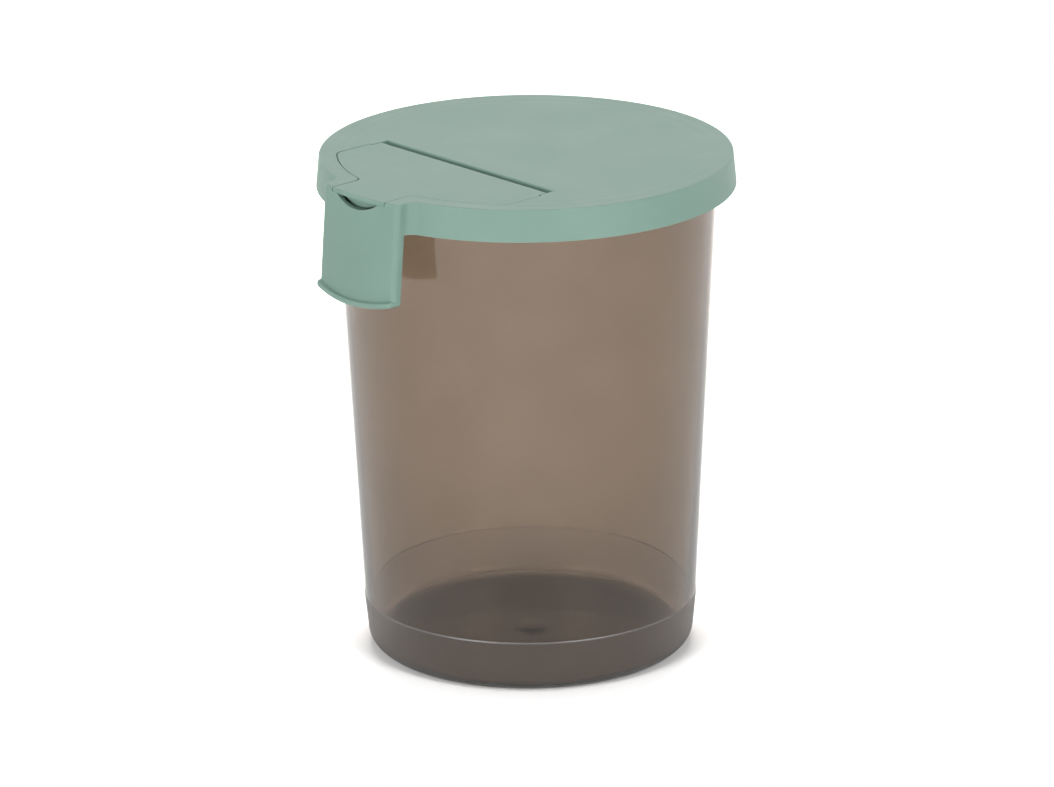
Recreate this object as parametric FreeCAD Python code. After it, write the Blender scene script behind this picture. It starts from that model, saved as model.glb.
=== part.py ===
import FreeCAD, Part
import math
import os

# A round, tapered, see-through food canister with a press-on lid. The lid has a
# flush pour flap on hinge pins, and a tab that hangs down below the spout.
# Axes: +Z up along the container's axis, spout and tab towards -Y.
# Origin: centre of the base, on the table.
# All sizes are in millimetres and degrees.

# Whole canister
total_height = 172.0  # table to lid top
lid_diameter = 140.0  # across the skirt's lower edge

# Container
container_wall = 1.8
floor_thickness = 2.4
wall_taper = 2.97  # draft of the wall above the base band
band_taper = 5.7  # draft of the base band
band_height = 18.2
band_step = 0.2  # ledge on top of the base band
base_round = 4.0
floor_round = 6.0
gate_radius = 5.0  # shallow gate dimple in the middle of the floor
gate_depth = 0.5
flange_thickness = 1.6
rim_chamfer = 0.4

# Lid shell
lid_plate = 2.0
lid_wall = 1.6
lid_edge_round = 0.6
skirt_height = 10.7
skirt_flare = 5.3
skirt_overhang = 6.5  # skirt's lower edge beyond the container wall
skirt_gap = 0.6  # skirt to rim flange
seat_rib = 1.5  # rib that sits on the rim flange
seat_inset = 1.4  # rim flange's edge to the seat rib
plug_wall = 1.6  # ring that reaches into the mouth
plug_depth = 4.0  # below the rim
plug_gap = 0.3
plug_lead = 0.5  # chamfer that guides the ring into the mouth

# Tab below the spout
tab_width = 36.8
tab_reach = 5.9  # beyond the lid's top edge
tab_flare = 4.8
tab_drop = 36.6  # lid top to the lip's lowest point
tab_depth = 3.1  # side returns
tab_corner_round = 2.0
tab_root_round = 4.0
tab_inner_round = 0.3  # inside the front corners, at least
arch_rise = 2.3  # the lower edge is arched
lip_reach = 1.6
lip_height = 2.1
lip_round = 0.7  # upper edge
lip_low_round = 1.0  # lower edge
lip_root_round = 0.8

# Pour flap
flap_thickness = 1.5
flap_side_margin = 27.8  # skirt's lower edge to the flap's side
flap_rear = 27.1  # lid axis to the flap's rear edge
flap_rim = 6.2  # lid's top edge to the flap's front arc
flap_corner_round = 5.0
flap_step_round = 0.8
flap_gap = 0.35
flap_edge_round = 0.25
tongue_width = 25.4
tongue_root_round = 3.0
flap_rib = 1.2  # plug rib under the flap
flap_rib_gap = 0.5
flap_rib_floor_gap = 0.3

# Flap hinge
groove_width = 2.0  # open slot behind the flap
groove_round = 0.6
barrel_radius = 1.6
barrel_inset = 1.1  # flap's side to the barrel's end
barrel_gap = 0.4
ear_length = 3.2  # hinge line to the step in the flap's side
pin_radius = 0.9
pin_length = 2.0
pin_gap = 0.05
pin_end_gap = 0.3

# Pour opening and channel
tray_wall = 1.5  # ledge, trough and channel under the flap
opening_ledge = 5.7  # flap's side to the opening
opening_inset = 1.3  # plug ring to the opening's front edge
opening_round = 4.0
hinge_wall = 1.9  # between the hinge trough and the opening
channel_width = 21.0
channel_depth = 4.7  # lid top to channel floor
channel_rim_gap = 0.4
notch_width = 20.0  # finger notch in the tab's top edge

# Heights
lid_top = total_height
plate_low = lid_top - lid_plate
plate_middle = lid_top - lid_plate / 2  # ribs run up into the plate to here
skirt_low = lid_top - skirt_height
tab_low = lid_top - tab_drop
flap_low = lid_top - flap_thickness
tray_low = flap_low - tray_wall
channel_floor = lid_top - channel_depth
rim_top = channel_floor - tray_wall - channel_rim_gap
flange_low = rim_top - flange_thickness
plug_low = rim_top - plug_depth
hinge_height = lid_top - barrel_radius
trough_floor = hinge_height - barrel_radius - barrel_gap
flap_rib_low = channel_floor + flap_rib_floor_gap

# Radii and half widths
skirt_radius = lid_diameter / 2
lid_top_radius = skirt_radius - skirt_height * math.tan(math.radians(skirt_flare))
flap_front = lid_top_radius - flap_rim
tab_front = lid_top_radius + tab_reach
tab_half = tab_width / 2
flap_half = skirt_radius - flap_side_margin
tongue_half = tongue_width / 2
barrel_half = flap_half - barrel_inset
opening_half = flap_half - opening_ledge
channel_half = channel_width / 2
arch_radius = (tab_half * tab_half + arch_rise * arch_rise) / (2 * arch_rise)

# Distances from the lid's axis towards the spout
hinge_line = flap_rear + barrel_radius
flap_step = hinge_line + ear_length
groove_rear = flap_rear - groove_width
trough_front = hinge_line + barrel_radius + barrel_gap
opening_rear = trough_front + hinge_wall

# Cutters run this far past the faces they open
past = 5.0


def point(across, forward, height):
    """A point given across the spout, towards the spout, and up."""
    return FreeCAD.Vector(across, -forward, height)


def wall_radius(height):
    """Outer radius of the container wall above the base band."""
    foot = skirt_radius - skirt_overhang
    return foot + (height - skirt_low) * math.tan(math.radians(wall_taper))


def skirt_radius_at(height):
    return lid_top_radius + (lid_top - height) * math.tan(math.radians(skirt_flare))


def tab_radius_at(height):
    return tab_front + (lid_top - height) * math.tan(math.radians(tab_flare))


mouth_slant = container_wall / math.cos(math.radians(wall_taper))
flange_radius = skirt_radius_at(rim_top) - lid_wall - skirt_gap


def mouth_radius(height):
    """Inner radius of the container wall above the base band."""
    return wall_radius(height) - mouth_slant


tab_rear = math.sqrt(skirt_radius * skirt_radius - tab_half * tab_half) - tab_depth
plug_inner = mouth_radius(plug_low) - plug_gap - plug_wall
opening_front = plug_inner - opening_inset


def rounded_profile(corners):
    """Face in the XZ plane from (radius, height, corner round) triples."""
    edges = []
    joints = []
    count = len(corners)
    for index, (radius, height, corner_round) in enumerate(corners):
        here = FreeCAD.Vector(radius, 0, height)
        before = FreeCAD.Vector(corners[index - 1][0], 0, corners[index - 1][1])
        after_corner = corners[(index + 1) % count]
        after = FreeCAD.Vector(after_corner[0], 0, after_corner[1])
        back = (before - here).normalize()
        ahead = (after - here).normalize()
        half_angle = back.getAngle(ahead) / 2
        if corner_round:
            run = corner_round / math.tan(half_angle)
            centre = here + (back + ahead).normalize() * (corner_round / math.sin(half_angle))
            middle = centre + (here - centre).normalize() * corner_round
            start = here + back * run
            end = here + ahead * run
            edges.append(Part.Arc(start, middle, end).toShape())
            joints.append((start, end))
        else:
            joints.append((here, here))
    for index in range(count):
        start = joints[index - 1][1]
        end = joints[index][0]
        edges.append(Part.LineSegment(start, end).toShape())
    return Part.Face(Part.Wire(Part.__sortEdges__(edges)))


def turned(corners):
    """Solid of revolution about the container's axis."""
    return rounded_profile(corners).revolve(FreeCAD.Vector(0, 0, 0), FreeCAD.Vector(0, 0, 1), 360)


def disc(radius, low, high):
    return Part.makeCylinder(radius, high - low, FreeCAD.Vector(0, 0, low))


def block(half_width, rear, front, low, high):
    """Rectangular prism, centred across, between two distances to the spout."""
    corner = point(-half_width, front, low)
    return Part.makeBox(2 * half_width, front - rear, high - low, corner)


def cross_bar(radius, half_length, forward, height):
    """Round bar that lies across the spout."""
    start = point(-half_length, forward, height)
    return Part.makeCylinder(radius, 2 * half_length, start, FreeCAD.Vector(1, 0, 0))


def upright_edges(shape, across, forward):
    """Vertical edges at plus and minus one place across, within a small reach."""
    reach = 0.05
    found = []
    for edge in shape.Edges:
        box = edge.BoundBox
        upright = box.XLength < reach and box.YLength < reach
        if upright and abs(abs(box.XMin) - across) < reach and abs(-box.YMin - forward) < reach:
            found.append(edge)
    return found


def level_edges(shape, height, y_low, y_high):
    """Edges that lie flat at one height, between two places along Y."""
    reach = 0.01
    found = []
    for edge in shape.Edges:
        box = edge.BoundBox
        level = abs(box.ZMin - height) < reach and abs(box.ZMax - height) < reach
        if level and box.YMin > y_low - reach and box.YMax < y_high + reach:
            found.append(edge)
    return found


def chord(radius, across):
    """How far forward a circle about the axis is, at a place across."""
    return math.sqrt(radius * radius - across * across)


def container_body():
    band_slope = math.tan(math.radians(band_taper))
    band_radius = wall_radius(band_height) + band_step
    base_radius = band_radius - band_height * band_slope
    inner_band = mouth_radius(band_height)
    inner_base = inner_band - (band_height - floor_thickness) * band_slope
    floor_low = floor_thickness - gate_depth
    chamfer_low = rim_top - rim_chamfer
    return turned(
        [
            (0, 0, 0),
            (base_radius, 0, base_round),
            (band_radius, band_height, 0),
            (wall_radius(band_height), band_height, 0),
            (wall_radius(flange_low), flange_low, 0),
            (flange_radius, flange_low, 0),
            (flange_radius, chamfer_low, 0),
            (flange_radius - rim_chamfer, rim_top, 0),
            (mouth_radius(rim_top) + rim_chamfer, rim_top, 0),
            (mouth_radius(chamfer_low), chamfer_low, 0),
            (inner_band, band_height, 0),
            (inner_base, floor_thickness, floor_round),
            (gate_radius, floor_thickness, 0),
            (gate_radius - gate_depth, floor_low, 0),
            (0, floor_low, 0),
        ]
    )


def bulge(start, end, centre, radius):
    """Arc about a centre, on the side where its ends lie."""
    middle = centre + ((start + end) * 0.5 - centre).normalize() * radius
    return Part.Arc(start, middle, end)


def tab_corners(height, inset, reach):
    """Where the tab's two front corners meet its sides and its front, and their arcs."""
    front = tab_radius_at(height) - inset + reach
    side = tab_half - inset
    corner = max(tab_corner_round - inset, tab_inner_round)
    forward = chord(front - corner, side - corner)
    grown = front / (front - corner)
    found = []
    for across_sign in (-1, 1):
        across = across_sign * (side - corner)
        side_touch = point(across_sign * side, forward, height)
        front_touch = point(across * grown, forward * grown, height)
        arc = bulge(side_touch, front_touch, point(across, forward, height), corner)
        found.append((side_touch, front_touch, arc))
    return found


def lid_outline(height, inset):
    """Plan of the lid: its round skirt running out into the tab."""
    skirt = skirt_radius_at(height) - inset
    side = tab_half - inset
    root = tab_root_round + inset
    across = side + root
    forward = chord(skirt + root, across)
    shrunk = skirt / (skirt + root)
    skirt_left = point(-across * shrunk, forward * shrunk, height)
    skirt_right = point(across * shrunk, forward * shrunk, height)
    side_left = point(-side, forward, height)
    side_right = point(side, forward, height)
    left, right = tab_corners(height, inset, 0)
    front = point(0, tab_radius_at(height) - inset, height)
    edges = [
        Part.Arc(skirt_right, point(0, -skirt, height), skirt_left),
        bulge(skirt_left, side_left, point(-across, forward, height), root),
        Part.LineSegment(side_left, left[0]),
        left[2],
        Part.Arc(left[1], front, right[1]),
        right[2],
        Part.LineSegment(right[0], side_right),
        bulge(side_right, skirt_right, point(across, forward, height), root),
    ]
    return Part.Wire([edge.toShape() for edge in edges])


def lid_form(inset, low, high):
    """The lid's outer form between two heights, drawn in by an inset."""
    return Part.makeLoft([lid_outline(low, inset), lid_outline(high, inset)], True, True)


def tab_outline(height, inset, reach):
    """Plan of the tab from the skirt's inside out to its front face."""
    side = tab_half - inset
    rear_left = point(-side, tab_rear, height)
    rear_right = point(side, tab_rear, height)
    left, right = tab_corners(height, inset, reach)
    front = point(0, tab_radius_at(height) - inset + reach, height)
    edges = [
        Part.LineSegment(rear_right, rear_left),
        Part.LineSegment(rear_left, left[0]),
        left[2],
        Part.Arc(left[1], front, right[1]),
        right[2],
        Part.LineSegment(right[0], rear_right),
    ]
    return Part.Wire([edge.toShape() for edge in edges])


def tab_form(inset, reach, low, high):
    return Part.makeLoft([tab_outline(low, inset, reach), tab_outline(high, inset, reach)], True, True)


def arch_height(across, rise):
    """Height of the tab's arched lower edge at a place across, lifted by a rise."""
    return tab_low + rise + arch_radius - chord(arch_radius, across)


def arch(rise):
    """Bar through the tab whose underside is the arched lower edge, lifted by a rise."""
    start = point(0, tab_radius_at(tab_low) + past, tab_low + rise + arch_radius)
    through = FreeCAD.Vector(0, 1, 0)
    bar = Part.makeCylinder(arch_radius, tab_radius_at(tab_low), start, through)
    bar.rotate(start, through, 90)
    return bar


def arch_edges(shape, rise, reach_low, reach_high):
    """Edges in the arched surface, between two reaches from the tab's front face."""
    near = 0.02
    found = []
    for edge in shape.Edges:
        middle = edge.valueAt((edge.FirstParameter + edge.LastParameter) / 2)
        reach = math.hypot(middle.x, middle.y) - tab_radius_at(middle.z)
        in_arch = abs(middle.z - arch_height(middle.x, rise)) < near
        if in_arch and reach_low < reach < reach_high:
            found.append(edge)
    return found


def tab_lip():
    """Lip along the tab's lower edge, rounded above and below."""
    lip_high = tab_low + arch_rise + lip_height
    lip = tab_form(0, lip_reach, tab_low, lip_high).cut(arch(lip_height)).common(arch(0))
    rear_reach = tab_rear - tab_radius_at(tab_low)
    lip = lip.makeFillet(lip_low_round, arch_edges(lip, 0, rear_reach + lip_round, 2 * lip_reach))
    return lip.makeFillet(lip_round, arch_edges(lip, lip_height, lip_reach / 4, 2 * lip_reach))


def hanging_tab():
    """The part of the tab below the skirt: a curved panel with a lip, cut to its depth."""
    panel = tab_form(0, 0, tab_low, skirt_low).common(arch((lip_low_round + lip_height) / 2))
    low_radius = tab_radius_at(tab_low - past) - tab_depth
    high_radius = tab_radius_at(skirt_low) - tab_depth
    behind_low = point(0, 0, tab_low - past)
    behind = Part.makeCone(low_radius, high_radius, skirt_low - tab_low + past, behind_low)
    tab = panel.fuse(tab_lip()).cut(behind)
    roots = arch_edges(tab, lip_height, -lip_reach / 8, lip_reach / 8)
    return tab.makeFillet(lip_root_round, roots)


def flap_form(gap, rear, front, low, high):
    """Plan of the flap and its tongue as a prism, grown by a gap."""
    side = flap_half + gap
    leaf_front = flap_front + gap
    tongue_side = tongue_half + gap
    step = flap_step - gap
    leaf = disc(leaf_front, low, high).common(block(side, step, leaf_front, low, high))
    tongue = disc(front, low, high).common(block(tongue_side, step, front, low, high))
    tail = block(barrel_half + gap, rear, step + past, low, high)
    form = leaf.fuse([tongue, tail]).removeSplitter()
    form = form.makeFillet(flap_corner_round + gap, upright_edges(form, side, chord(leaf_front, side)))
    roots = upright_edges(form, tongue_side, chord(leaf_front, tongue_side))
    form = form.makeFillet(tongue_root_round - gap, roots)
    return form.makeFillet(flap_step_round, upright_edges(form, side, step))


def opening_form(inset, low, high):
    """Plan of the pour opening as a prism, drawn in by an inset."""
    side = opening_half - inset
    front = opening_front - inset
    rear = opening_rear + inset
    form = disc(front, low, high).common(block(side, rear, front, low, high))
    corners = upright_edges(form, side, chord(front, side)) + upright_edges(form, side, rear)
    return form.makeFillet(opening_round - inset, corners)


def lid_shell():
    """Plate, skirt and tab as one wall."""
    solid = lid_form(0, skirt_low, lid_top)
    rim = level_edges(solid, lid_top, -tab_front, lid_top_radius)
    solid = solid.makeFillet(lid_edge_round, rim).fuse(hanging_tab())
    skirt_hollow = lid_form(lid_wall, skirt_low, plate_low)
    tab_hollow = tab_form(lid_wall, 0, tab_low - past, skirt_low)
    return solid.cut([skirt_hollow, tab_hollow])


def seat_and_plug():
    """Rib that sits on the rim and ring that reaches into the mouth."""
    rib_outer = flange_radius - seat_inset
    rib_inner = rib_outer - seat_rib
    rib = turned(
        [
            (rib_inner, rim_top, 0),
            (rib_outer, rim_top, 0),
            (rib_outer, plate_middle, 0),
            (rib_inner, plate_middle, 0),
        ]
    )
    ring = turned(
        [
            (plug_inner, plug_low, 0),
            (mouth_radius(plug_low) - plug_gap - plug_lead, plug_low, 0),
            (mouth_radius(plug_low + plug_lead) - plug_gap, plug_low + plug_lead, 0),
            (mouth_radius(plate_middle) - plug_gap, plate_middle, 0),
            (plug_inner, plate_middle, 0),
        ]
    )
    return rib, ring


def flap_tray():
    """Ledge under the flap, hinge trough with its ears, and pour channel."""
    beyond = tab_front + past
    ledge = flap_form(flap_gap + tray_wall, flap_rear, beyond, tray_low, plate_middle)
    trough_half = barrel_half + pin_length + pin_end_gap + tray_wall
    trough_rear = groove_rear - tray_wall
    trough = block(trough_half, trough_rear, opening_rear, trough_floor - tray_wall, plate_middle)
    channel_low = channel_floor - tray_wall
    channel_side = channel_half + tray_wall
    channel = block(channel_side, opening_front - tray_wall, beyond, channel_low, plate_middle)
    within = lid_form(lid_wall / 2, tray_low - channel_depth, lid_top)
    return ledge.fuse([trough, channel]).common(within)


def lid_cuts():
    """Everything that is cut out of the lid: pocket, trough, opening, channel, notch, bores."""
    above = lid_top + past
    pocket = flap_form(flap_gap, groove_rear, tab_front + past, flap_low, above)
    trough = block(barrel_half + flap_gap, groove_rear, trough_front, trough_floor, above)
    opening = opening_form(0, trough_floor - past, above)
    wall_inside = tab_radius_at(channel_floor) - lid_wall
    channel = block(channel_half, opening_front - opening_inset, wall_inside, channel_floor, above)
    channel = channel.common(disc(wall_inside, channel_floor, above))
    notch_depth = flap_low - channel_floor
    notch_radius = (notch_width * notch_width / 4 + notch_depth * notch_depth) / (2 * notch_depth)
    notch_start = point(0, tab_front + past, channel_floor + notch_radius)
    notch = Part.makeCylinder(notch_radius, lid_wall + 2 * past, notch_start, FreeCAD.Vector(0, 1, 0))
    notch = notch.common(block(notch_width, opening_front, tab_front + 2 * past, channel_floor, above))
    bore_half = barrel_half + pin_length + pin_end_gap
    bore = cross_bar(pin_radius + pin_gap, bore_half, hinge_line, hinge_height)
    return [pocket, trough, opening, channel, notch, bore]


def lid():
    rib, ring = seat_and_plug()
    solid = lid_shell().fuse([rib, ring, flap_tray()]).removeSplitter().cut(lid_cuts())
    return solid.makeFillet(groove_round, level_edges(solid, lid_top, -groove_rear, -groove_rear))


def pour_flap():
    leaf = flap_form(0, hinge_line, tab_front, flap_low, lid_top)
    rim = level_edges(leaf, lid_top, -tab_front, -hinge_line)
    leaf = leaf.makeFillet(flap_edge_round, rim)
    barrel = cross_bar(barrel_radius, barrel_half, hinge_line, hinge_height)
    pins = cross_bar(pin_radius, barrel_half + pin_length, hinge_line, hinge_height)
    outer = opening_form(flap_rib_gap, flap_rib_low, lid_top - flap_thickness / 2)
    inner = opening_form(flap_rib_gap + flap_rib, flap_rib_low, flap_low)
    return leaf.fuse([barrel, pins, outer.cut(inner)]).removeSplitter()


pieces = {
    "container_body": container_body(),
    "lid": lid(),
    "pour_flap": pour_flap(),
}

os.makedirs("parts", exist_ok=True)
for name, shape in pieces.items():
    if len(shape.Solids) != 1 or not shape.isValid():
        raise ValueError(name + " is not one valid solid")
    print(name, "volume", round(shape.Volume, 1))
    shape.Solids[0].exportStep("parts/" + name + ".step")
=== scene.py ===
import math

import bmesh
import bpy
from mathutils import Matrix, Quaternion, Vector


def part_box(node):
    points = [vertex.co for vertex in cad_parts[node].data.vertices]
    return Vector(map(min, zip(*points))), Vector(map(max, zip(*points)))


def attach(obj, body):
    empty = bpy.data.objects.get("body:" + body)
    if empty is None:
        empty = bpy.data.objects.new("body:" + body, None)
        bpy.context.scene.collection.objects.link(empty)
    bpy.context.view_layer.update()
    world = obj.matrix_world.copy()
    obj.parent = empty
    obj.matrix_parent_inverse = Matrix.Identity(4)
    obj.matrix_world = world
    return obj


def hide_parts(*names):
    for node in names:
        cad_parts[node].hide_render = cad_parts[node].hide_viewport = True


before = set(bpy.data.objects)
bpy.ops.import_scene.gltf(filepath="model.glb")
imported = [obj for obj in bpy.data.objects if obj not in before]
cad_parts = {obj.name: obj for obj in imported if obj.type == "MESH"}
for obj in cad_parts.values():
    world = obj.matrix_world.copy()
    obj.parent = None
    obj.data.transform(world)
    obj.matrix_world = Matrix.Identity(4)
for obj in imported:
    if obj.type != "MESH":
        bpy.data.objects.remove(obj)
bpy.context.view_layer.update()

scene = bpy.context.scene

MM_PER_M = 1000.0
MERGE_DISTANCE = 1e-6

# Picture: the studio white prints as paper white, and the tones up to the knee stay as they are.
TONE_KNEE = (0.48, 0.48)
TONE_WHITE = (0.74, 1.0)

# Camera, at the photograph's viewing angle. Lengths in metres, lens and sensor in millimetres.
CAMERA_PLACE = Vector((1.6395, -1.4762, 0.8118))
CAMERA_AZIMUTH = math.radians(48.0)
CAMERA_ROLL = math.radians(-0.582)
CAMERA_LENS = 235.67
CAMERA_SENSOR = 36.0
CAMERA_NEAR = 0.01
CAMERA_FAR = 100.0
AIM_HEIGHT = 0.08696
AIM_ASIDE = 0.00052

# Studio, in metres, degrees and watts. The floor lies a hair below the canister,
# because two faces in one plane leak light.
FLOOR_HALF = 8.0
FLOOR_DROP = 0.00015
FLOOR_PALE = (0.93, 0.93, 0.93)
FLOOR_PALER = (0.94, 0.94, 0.94)
FLOOR_CLOUDS = 0.002
FLOOR_CLOUD_DETAIL = 2.0
FLOOR_ROUGHNESS = 0.8
FLOOR_SPECULAR = 0.1
WALL_LIGHT = 1.5
CEILING_LIGHT = 0.2
WALL_TO_CEILING = (0.36, 0.62)  # rise of the direction, as a sine
STUDIO_WHITE = (1.0, 1.0, 1.0)
BOX_DISTANCE = 1.9
BOX_AZIMUTHS = (10.0, 86.0)
BOX_ELEVATION = 23.0
BOX_SIZE = (0.72, 1.0)
BOX_POWER = 16.0
STRIP_ELEVATION = 66.0
STRIP_DISTANCE = 1.5
STRIP_SIZE = (0.7, 0.2)
FRONT_STRIP_POWER = 1.6
BACK_STRIP_POWER = 9.0
BACK_STRIP_TINT = (1.0, 0.96, 0.92)
HALF_TURN = 180.0

# Container, in millimetres: its base band is a little proud of the wall and has a satin skin.
WALL = 1.8
WALL_SLOPE = math.tan(math.radians(2.97))
WALL_MARK = (63.5, 161.3)  # a radius and height on the outer wall
BAND_SLOPE = math.tan(math.radians(5.7))
BAND_TOP = 18.2
BAND_PROUD = 0.2
BAND_SKIN_RADIUS = 53.46  # between the band's two faces, at the height of the table
SHOULDER = 0.45
SHOULDER_ROUND = 0.3
FLOOR_TOP = 2.4
UNDERSIDE = 2.0
BASE_ROUND = 6.0
FLOOR_ROUND = 3.8
GATE_RADIUS = 7.5
GATE_FLAT = 2.6
GATE_RISE = 0.55
GATE_ROUND = 36.0
FLANGE = 1.6
FLANGE_ROUND = 0.3
RIM_ROUND = 0.4
ROUND_STEPS = 10
TURN_STEPS = 216
CREASE = math.radians(28.0)

# Flap, in millimetres: a thin tooth under its tongue closes the pour channel
# behind the finger notch. Its lower edge is an arc that keeps clear of the notch.
TOOTH_FRONT = 73.0
TOOTH_THICKNESS = 1.4
TOOTH_TOP = 170.9
TOOTH_HALF = 9.3
TOOTH_ARC_CENTRE = 184.525
TOOTH_ARC_RADIUS = 16.775
TOOTH_EDGE_ROUND = 0.2
TOOTH_EDGE_STEPS = 3
TOOTH_STEPS = 24

# Lid, in millimetres: the ribs below the plate leave faint sink rings on its top.
LID_TOP = (171.3, 171.6)
SINK_RINGS = (60.6, 65.2)
SINK_HALF = 1.5

# Skin of the mouldings: noise scale per millimetre and detail, and the spans that are used.
GRAIN_NOISE = (2.6, 2.0)
MOTTLE_NOISE = (0.05, 3.0)
RIPPLE_NOISE = (0.035, 1.0)
GRAIN_SPAN = (0.2, 0.8)
MOTTLE_SPAN = (0.3, 0.7)
RIPPLE_BUMP = 0.00006
SINK_BUMP = 0.00003
SAGE_GRAIN_BUMP = 0.000012
BAND_GRAIN_BUMP = 0.00002

# Sage-green plastic of the lid and flap.
SAGE_DEEP = (0.133, 0.222, 0.184)
SAGE_PALE = (0.140, 0.232, 0.193)
SAGE_IOR = 1.49
SAGE_ROUGHNESS = (0.40, 0.47)
SAGE_SCATTER = 0.35
SAGE_SCATTER_RADIUS = (1.0, 1.0, 1.0)
SAGE_SCATTER_SCALE = 0.0012

# Smoke-brown clear plastic of the container.
SMOKE_DEEP = (0.785, 0.75, 0.705)
SMOKE_PALE = (0.815, 0.78, 0.735)
SMOKE_BAND = (0.75, 0.72, 0.69)
SMOKE_DEPTH = (0.465, 0.34, 0.21)
SMOKE_DENSITY = 554.0
SMOKE_IOR = 1.57
SMOKE_ROUGHNESS = 0.04
BAND_ROUGHNESS = (0.36, 0.44)
SHEEN_IOR = 2.0
SHEEN_ROUGHNESS = 0.45
BAND_SHEEN = 0.13
SHOULDER_SHEEN = 0.6

# Sockets of a mix node that mixes colours.
MIX_FIRST = 6
MIX_SECOND = 7
MIX_RESULT = 2


def set_tones():
    settings = scene.view_settings
    settings.view_transform = "Standard"
    settings.use_curve_mapping = True
    tones = settings.curve_mapping
    combined = tones.curves[3]
    for place, tone in (TONE_KNEE, TONE_WHITE):
        combined.points.new(place, tone)
    for point in combined.points:
        point.handle_type = "VECTOR"
    tones.update()


def set_camera():
    data = bpy.data.cameras.new("camera")
    data.lens = CAMERA_LENS
    data.sensor_width = CAMERA_SENSOR
    data.sensor_fit = "HORIZONTAL"
    data.clip_start = CAMERA_NEAR
    data.clip_end = CAMERA_FAR
    camera = bpy.data.objects.new("camera", data)
    scene.collection.objects.link(camera)
    aside = Vector((-math.cos(CAMERA_AZIMUTH), -math.sin(CAMERA_AZIMUTH), 0.0))
    aim = Vector((0.0, 0.0, AIM_HEIGHT)) + AIM_ASIDE * aside
    look = (aim - CAMERA_PLACE).to_track_quat("-Z", "Y")
    camera.rotation_mode = "QUATERNION"
    camera.location = CAMERA_PLACE
    camera.rotation_quaternion = look @ Quaternion((0.0, 0.0, 1.0), CAMERA_ROLL)
    scene.camera = camera


def new_material(name):
    material = bpy.data.materials.new(name)
    material.use_nodes = True
    tree = material.node_tree
    tree.nodes.clear()
    shader = tree.nodes.new("ShaderNodeBsdfPrincipled")
    output = tree.nodes.new("ShaderNodeOutputMaterial")
    tree.links.new(shader.outputs["BSDF"], output.inputs["Surface"])
    return material, tree, shader, output


def math_node(tree, operation, *values):
    node = tree.nodes.new("ShaderNodeMath")
    node.operation = operation
    for socket, value in zip(node.inputs, values):
        if isinstance(value, (int, float)):
            socket.default_value = value
        else:
            tree.links.new(value, socket)
    return node.outputs["Value"]


def ramp_node(tree, value, span, reach=(0.0, 1.0)):
    """Takes a value smoothly from one end of the reach to the other over a span."""
    node = tree.nodes.new("ShaderNodeMapRange")
    node.interpolation_type = "SMOOTHSTEP"
    tree.links.new(value, node.inputs["Value"])
    node.inputs["From Min"].default_value, node.inputs["From Max"].default_value = span
    node.inputs["To Min"].default_value, node.inputs["To Max"].default_value = reach
    return node.outputs["Result"]


def mix_colour(tree, factor, first, second):
    node = tree.nodes.new("ShaderNodeMix")
    node.data_type = "RGBA"
    tree.links.new(factor, node.inputs["Factor"])
    for place, value in ((MIX_FIRST, first), (MIX_SECOND, second)):
        if isinstance(value, tuple):
            node.inputs[place].default_value = (*value, 1.0)
        else:
            tree.links.new(value, node.inputs[place])
    return node.outputs[MIX_RESULT]


def noise_node(tree, vector, scale, detail):
    node = tree.nodes.new("ShaderNodeTexNoise")
    tree.links.new(vector, node.inputs["Vector"])
    node.inputs["Scale"].default_value = scale
    node.inputs["Detail"].default_value = detail
    return node.outputs["Fac"]


def bump_node(tree, height, distance, below=None):
    node = tree.nodes.new("ShaderNodeBump")
    node.inputs["Distance"].default_value = distance
    node.inputs["Strength"].default_value = 1.0
    tree.links.new(height, node.inputs["Height"])
    if below is not None:
        tree.links.new(below, node.inputs["Normal"])
    return node.outputs["Normal"]


def millimetres(tree):
    place = tree.nodes.new("ShaderNodeTexCoord")
    scale = tree.nodes.new("ShaderNodeMapping")
    scale.inputs["Scale"].default_value = (MM_PER_M, MM_PER_M, MM_PER_M)
    tree.links.new(place.outputs["Object"], scale.inputs["Vector"])
    return scale.outputs["Vector"]


def round_and_up(tree, place):
    """Distance from the canister's axis and height, in millimetres."""
    split = tree.nodes.new("ShaderNodeSeparateXYZ")
    tree.links.new(place, split.inputs["Vector"])
    across = math_node(tree, "MULTIPLY", split.outputs["X"], split.outputs["X"])
    along = math_node(tree, "MULTIPLY", split.outputs["Y"], split.outputs["Y"])
    radius = math_node(tree, "SQRT", math_node(tree, "ADD", across, along))
    return radius, split.outputs["Z"]


def moulded_skin_group():
    """Skin of a moulding: the mould's fine grain, the plastic's slow mottle and a slight ripple."""
    group = bpy.data.node_groups.new("moulded_skin", "ShaderNodeTree")
    group.interface.new_socket("Place", in_out="INPUT", socket_type="NodeSocketVector")
    entry = group.nodes.new("NodeGroupInput")
    leave = group.nodes.new("NodeGroupOutput")
    for name, noise in (
        ("Grain", GRAIN_NOISE),
        ("Mottle", MOTTLE_NOISE),
        ("Ripple", RIPPLE_NOISE),
    ):
        group.interface.new_socket(name, in_out="OUTPUT", socket_type="NodeSocketFloat")
        value = noise_node(group, entry.outputs["Place"], *noise)
        group.links.new(value, leave.inputs[name])
    return group


def moulded_skin(tree, group, place):
    node = tree.nodes.new("ShaderNodeGroup")
    node.node_tree = group
    tree.links.new(place, node.inputs["Place"])
    return node.outputs["Grain"], node.outputs["Mottle"], node.outputs["Ripple"]


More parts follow.
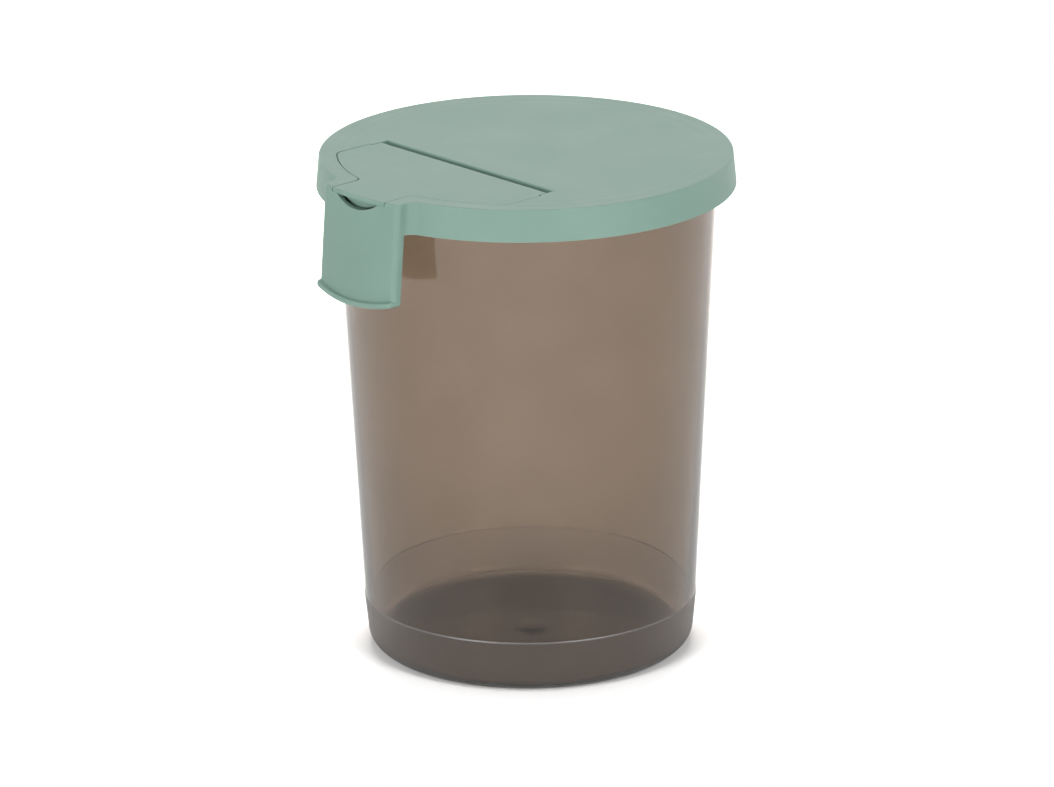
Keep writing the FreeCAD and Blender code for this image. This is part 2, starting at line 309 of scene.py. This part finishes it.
def finish_piece(name, form):
    """Cleans a form up and puts it into the scene, with creases at its sharp edges."""
    bmesh.ops.remove_doubles(form, verts=form.verts, dist=MERGE_DISTANCE)
    bmesh.ops.recalc_face_normals(form, faces=form.faces)
    for face in form.faces:
        face.smooth = True
    for edge in form.edges:
        edge.smooth = edge.calc_face_angle(0.0) < CREASE
    mesh = bpy.data.meshes.new(name)
    form.to_mesh(mesh)
    form.free()
    piece = bpy.data.objects.new(name, mesh)
    scene.collection.objects.link(piece)
    return piece


def round_corner(form, vert, corner_round):
    """Rounds a corner of an open profile to a radius."""
    back, ahead = [(edge.other_vert(vert).co - vert.co) for edge in vert.link_edges]
    run = corner_round / math.tan(back.angle(ahead) / 2) / MM_PER_M
    bmesh.ops.bevel(
        form,
        geom=[vert],
        offset=run,
        offset_type="OFFSET",
        affect="VERTICES",
        segments=ROUND_STEPS,
        profile=0.5,
        material=-1,
    )


def turned_piece(name, corners):
    """A closed turned form from rows of radius, height and corner round, in millimetres."""
    form = bmesh.new()
    verts = [
        form.verts.new((radius / MM_PER_M, 0.0, height / MM_PER_M))
        for radius, height, _ in corners
    ]
    for low, high in zip(verts, verts[1:]):
        form.edges.new((low, high))
    for vert, (_, _, corner_round) in zip(verts, corners):
        if corner_round:
            round_corner(form, vert, corner_round)
    bmesh.ops.spin(
        form,
        geom=form.verts[:] + form.edges[:],
        cent=(0.0, 0.0, 0.0),
        axis=(0.0, 0.0, 1.0),
        angle=math.tau,
        steps=TURN_STEPS,
        use_merge=True,
    )
    return finish_piece(name, form)


def wall_radius(height):
    return WALL_MARK[0] + (height - WALL_MARK[1]) * WALL_SLOPE


def turn_container():
    """The container: satin band with a rounded shoulder, flanged rim, low dome over the gate."""
    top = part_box("container_body")[1]
    rim_radius, rim_top = top.x * MM_PER_M, top.z * MM_PER_M
    inset = WALL * math.sqrt(1.0 + WALL_SLOPE * WALL_SLOPE)
    band_radius = wall_radius(BAND_TOP) + BAND_PROUD
    inner_band = wall_radius(BAND_TOP) - inset
    flange_low = rim_top - FLANGE
    corners = (
        (0.0, 0.0, 0.0),
        (band_radius - BAND_TOP * BAND_SLOPE, 0.0, BASE_ROUND),
        (band_radius - SHOULDER * BAND_SLOPE, BAND_TOP - SHOULDER, SHOULDER_ROUND),
        (wall_radius(BAND_TOP), BAND_TOP, SHOULDER_ROUND),
        (wall_radius(flange_low), flange_low, FLANGE_ROUND),
        (rim_radius, flange_low, FLANGE_ROUND),
        (rim_radius, rim_top, RIM_ROUND),
        (wall_radius(rim_top) - inset, rim_top, RIM_ROUND),
        (inner_band, BAND_TOP, 0.0),
        (inner_band - (BAND_TOP - FLOOR_TOP) * BAND_SLOPE, FLOOR_TOP, FLOOR_ROUND),
        (GATE_RADIUS, FLOOR_TOP, GATE_ROUND),
        (GATE_FLAT, FLOOR_TOP + GATE_RISE, GATE_ROUND),
        (0.0, FLOOR_TOP + GATE_RISE, 0.0),
    )
    return turned_piece("container_shell", corners)


def mould_tooth():
    """The tooth under the flap's tongue: a segment with an arched edge, bent round the lid's axis."""
    form = bmesh.new()
    columns = []
    for step in range(TOOTH_STEPS + 1):
        across = TOOTH_HALF * (2.0 * step / TOOTH_STEPS - 1.0)
        low = TOOTH_ARC_CENTRE - math.sqrt(TOOTH_ARC_RADIUS ** 2 - across ** 2)
        columns.append([
            form.verts.new((across / MM_PER_M, 0.0, height / MM_PER_M))
            for height in (low, TOOTH_TOP)
        ])
    front = [
        form.faces.new((left[0], right[0], right[1], left[1]))
        for left, right in zip(columns, columns[1:])
    ]
    grown = bmesh.ops.extrude_face_region(form, geom=front)
    back = [item for item in grown["geom"] if isinstance(item, bmesh.types.BMVert)]
    bmesh.ops.translate(form, verts=back, vec=(0.0, TOOTH_THICKNESS / MM_PER_M, 0.0))
    bmesh.ops.recalc_face_normals(form, faces=form.faces)
    bmesh.ops.bevel(
        form,
        geom=[edge for edge in form.edges if edge.calc_face_angle(0.0) > CREASE],
        offset=TOOTH_EDGE_ROUND / MM_PER_M,
        offset_type="OFFSET",
        affect="EDGES",
        segments=TOOTH_EDGE_STEPS,
        profile=0.5,
        material=-1,
        clamp_overlap=True,
    )
    for vert in form.verts:
        vert.co.y -= math.sqrt((TOOTH_FRONT / MM_PER_M) ** 2 - vert.co.x ** 2)
    return finish_piece("flap_tooth", form)


def sink_rings(tree, place):
    """Height of the lid's top: one, falling to nothing along each sink ring."""
    radius, height = round_and_up(tree, place)
    rise = ramp_node(tree, height, LID_TOP)
    for ring in SINK_RINGS:
        away = math_node(tree, "ABSOLUTE", math_node(tree, "SUBTRACT", radius, ring))
        rise = math_node(tree, "MULTIPLY", rise, ramp_node(tree, away, (0.0, SINK_HALF)))
    return rise


def sage_plastic(name, skin_group, sinks):
    material, tree, shader, _ = new_material(name)
    place = millimetres(tree)
    grain, mottle, ripple = moulded_skin(tree, skin_group, place)
    shader.inputs["IOR"].default_value = SAGE_IOR
    shader.inputs["Subsurface Weight"].default_value = SAGE_SCATTER
    shader.inputs["Subsurface Radius"].default_value = SAGE_SCATTER_RADIUS
    shader.inputs["Subsurface Scale"].default_value = SAGE_SCATTER_SCALE
    shade = ramp_node(tree, mottle, MOTTLE_SPAN)
    tree.links.new(mix_colour(tree, shade, SAGE_DEEP, SAGE_PALE), shader.inputs["Base Color"])
    satin = ramp_node(tree, mottle, MOTTLE_SPAN, SAGE_ROUGHNESS)
    tree.links.new(satin, shader.inputs["Roughness"])
    normal = bump_node(tree, ripple, RIPPLE_BUMP)
    if sinks:
        normal = bump_node(tree, sink_rings(tree, place), SINK_BUMP, normal)
    normal = bump_node(tree, grain, SAGE_GRAIN_BUMP, normal)
    tree.links.new(normal, shader.inputs["Normal"])
    return material


def smoke_plastic(name, skin_group):
    """Clear plastic that darkens with depth, with a satin skin on the base band and underside."""
    material, tree, shader, output = new_material(name)
    place = millimetres(tree)
    grain, mottle, ripple = moulded_skin(tree, skin_group, place)
    radius, height = round_and_up(tree, place)
    skin_radius = math_node(tree, "MULTIPLY_ADD", height, BAND_SLOPE, BAND_SKIN_RADIUS)
    outside = math_node(tree, "GREATER_THAN", radius, skin_radius)
    below = math_node(tree, "LESS_THAN", height, UNDERSIDE)
    in_band = math_node(tree, "LESS_THAN", height, BAND_TOP)
    band = math_node(tree, "MULTIPLY", math_node(tree, "MAXIMUM", outside, below), in_band)

    shader.inputs["IOR"].default_value = SMOKE_IOR
    shader.inputs["Transmission Weight"].default_value = 1.0
    clear = mix_colour(tree, ramp_node(tree, mottle, MOTTLE_SPAN), SMOKE_DEEP, SMOKE_PALE)
    tree.links.new(mix_colour(tree, band, clear, SMOKE_BAND), shader.inputs["Base Color"])
    depth = tree.nodes.new("ShaderNodeVolumeAbsorption")
    depth.inputs["Color"].default_value = (*SMOKE_DEPTH, 1.0)
    depth.inputs["Density"].default_value = SMOKE_DENSITY
    tree.links.new(depth.outputs["Volume"], output.inputs["Volume"])

    satin = math_node(tree, "MULTIPLY", band, ramp_node(tree, grain, GRAIN_SPAN, BAND_ROUGHNESS))
    rough = math_node(tree, "MAXIMUM", satin, SMOKE_ROUGHNESS)
    tree.links.new(rough, shader.inputs["Roughness"])
    shoulder = math_node(tree, "GREATER_THAN", height, BAND_TOP - SHOULDER)
    sheen = ramp_node(tree, shoulder, (0.0, 1.0), (BAND_SHEEN, SHOULDER_SHEEN))
    shader.inputs["Coat Roughness"].default_value = SHEEN_ROUGHNESS
    shader.inputs["Coat IOR"].default_value = SHEEN_IOR
    tree.links.new(math_node(tree, "MULTIPLY", band, sheen), shader.inputs["Coat Weight"])

    normal = bump_node(tree, ripple, RIPPLE_BUMP)
    band_grain = math_node(tree, "MULTIPLY", grain, band)
    normal = bump_node(tree, band_grain, BAND_GRAIN_BUMP, normal)
    tree.links.new(normal, shader.inputs["Normal"])
    return material


def floor_paint():
    material, tree, shader, _ = new_material("studio_floor")
    clouds = noise_node(tree, millimetres(tree), FLOOR_CLOUDS, FLOOR_CLOUD_DETAIL)
    shade = ramp_node(tree, clouds, MOTTLE_SPAN)
    tree.links.new(mix_colour(tree, shade, FLOOR_PALE, FLOOR_PALER), shader.inputs["Base Color"])
    shader.inputs["Roughness"].default_value = FLOOR_ROUGHNESS
    shader.inputs["Specular IOR Level"].default_value = FLOOR_SPECULAR
    return material


def lay_floor():
    mesh = bpy.data.meshes.new("studio_floor")
    sheet = bmesh.new()
    bmesh.ops.create_grid(sheet, x_segments=1, y_segments=1, size=FLOOR_HALF)
    bmesh.ops.translate(sheet, verts=sheet.verts, vec=(0.0, 0.0, -FLOOR_DROP))
    sheet.to_mesh(mesh)
    sheet.free()
    floor = bpy.data.objects.new("studio_floor", mesh)
    scene.collection.objects.link(floor)
    mesh.materials.append(floor_paint())


def hang_light(name, azimuth, elevation, distance, size, power, tint=STUDIO_WHITE):
    """An area light aimed at the canister."""
    turn, rise = math.radians(azimuth), math.radians(elevation)
    away = Vector((
        math.sin(turn) * math.cos(rise),
        -math.cos(turn) * math.cos(rise),
        math.sin(rise),
    ))
    data = bpy.data.lights.new(name, "AREA")
    data.shape = "RECTANGLE"
    data.size, data.size_y = size
    data.energy = power
    data.color = tint
    light = bpy.data.objects.new(name, data)
    scene.collection.objects.link(light)
    light.location = distance * away + Vector((0.0, 0.0, AIM_HEIGHT))
    light.rotation_mode = "QUATERNION"
    light.rotation_quaternion = (-away).to_track_quat("-Z", "Y")


def hang_strip(name, azimuth, power, tint=STUDIO_WHITE):
    hang_light(name, azimuth, STRIP_ELEVATION, STRIP_DISTANCE, STRIP_SIZE, power, tint)


def light_the_studio():
    """Bright wall all round under a dim ceiling, two softboxes, and a strip before and behind."""
    world = bpy.data.worlds.new("studio")
    world.use_nodes = True
    scene.world = world
    tree = world.node_tree
    background = tree.nodes["Background"]
    background.inputs["Color"].default_value = (*STUDIO_WHITE, 1.0)
    direction = tree.nodes.new("ShaderNodeTexCoord")
    split = tree.nodes.new("ShaderNodeSeparateXYZ")
    tree.links.new(direction.outputs["Generated"], split.inputs["Vector"])
    glow = ramp_node(tree, split.outputs["Z"], WALL_TO_CEILING, (WALL_LIGHT, CEILING_LIGHT))
    tree.links.new(glow, background.inputs["Strength"])
    for number, azimuth in enumerate(BOX_AZIMUTHS, 1):
        hang_light(
            f"softbox_{number}", azimuth, BOX_ELEVATION, BOX_DISTANCE, BOX_SIZE, BOX_POWER
        )
    front = math.degrees(CAMERA_AZIMUTH)
    hang_strip("front_strip", front, FRONT_STRIP_POWER)
    hang_strip("back_strip", front + HALF_TURN, BACK_STRIP_POWER, BACK_STRIP_TINT)


def paint(node, material):
    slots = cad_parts[node].data.materials
    slots.clear()
    slots.append(material)


set_tones()
set_camera()
lay_floor()
light_the_studio()

skin = moulded_skin_group()
container = turn_container()
container.data.materials.append(smoke_plastic("smoke_clear_plastic", skin))
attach(container, "container")
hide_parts("container_body")

paint("lid", sage_plastic("sage_lid_plastic", skin, True))

flap_plastic = sage_plastic("sage_flap_plastic", skin, False)
paint("pour_flap", flap_plastic)
tooth = mould_tooth()
tooth.data.materials.append(flap_plastic)
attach(tooth, "flap")
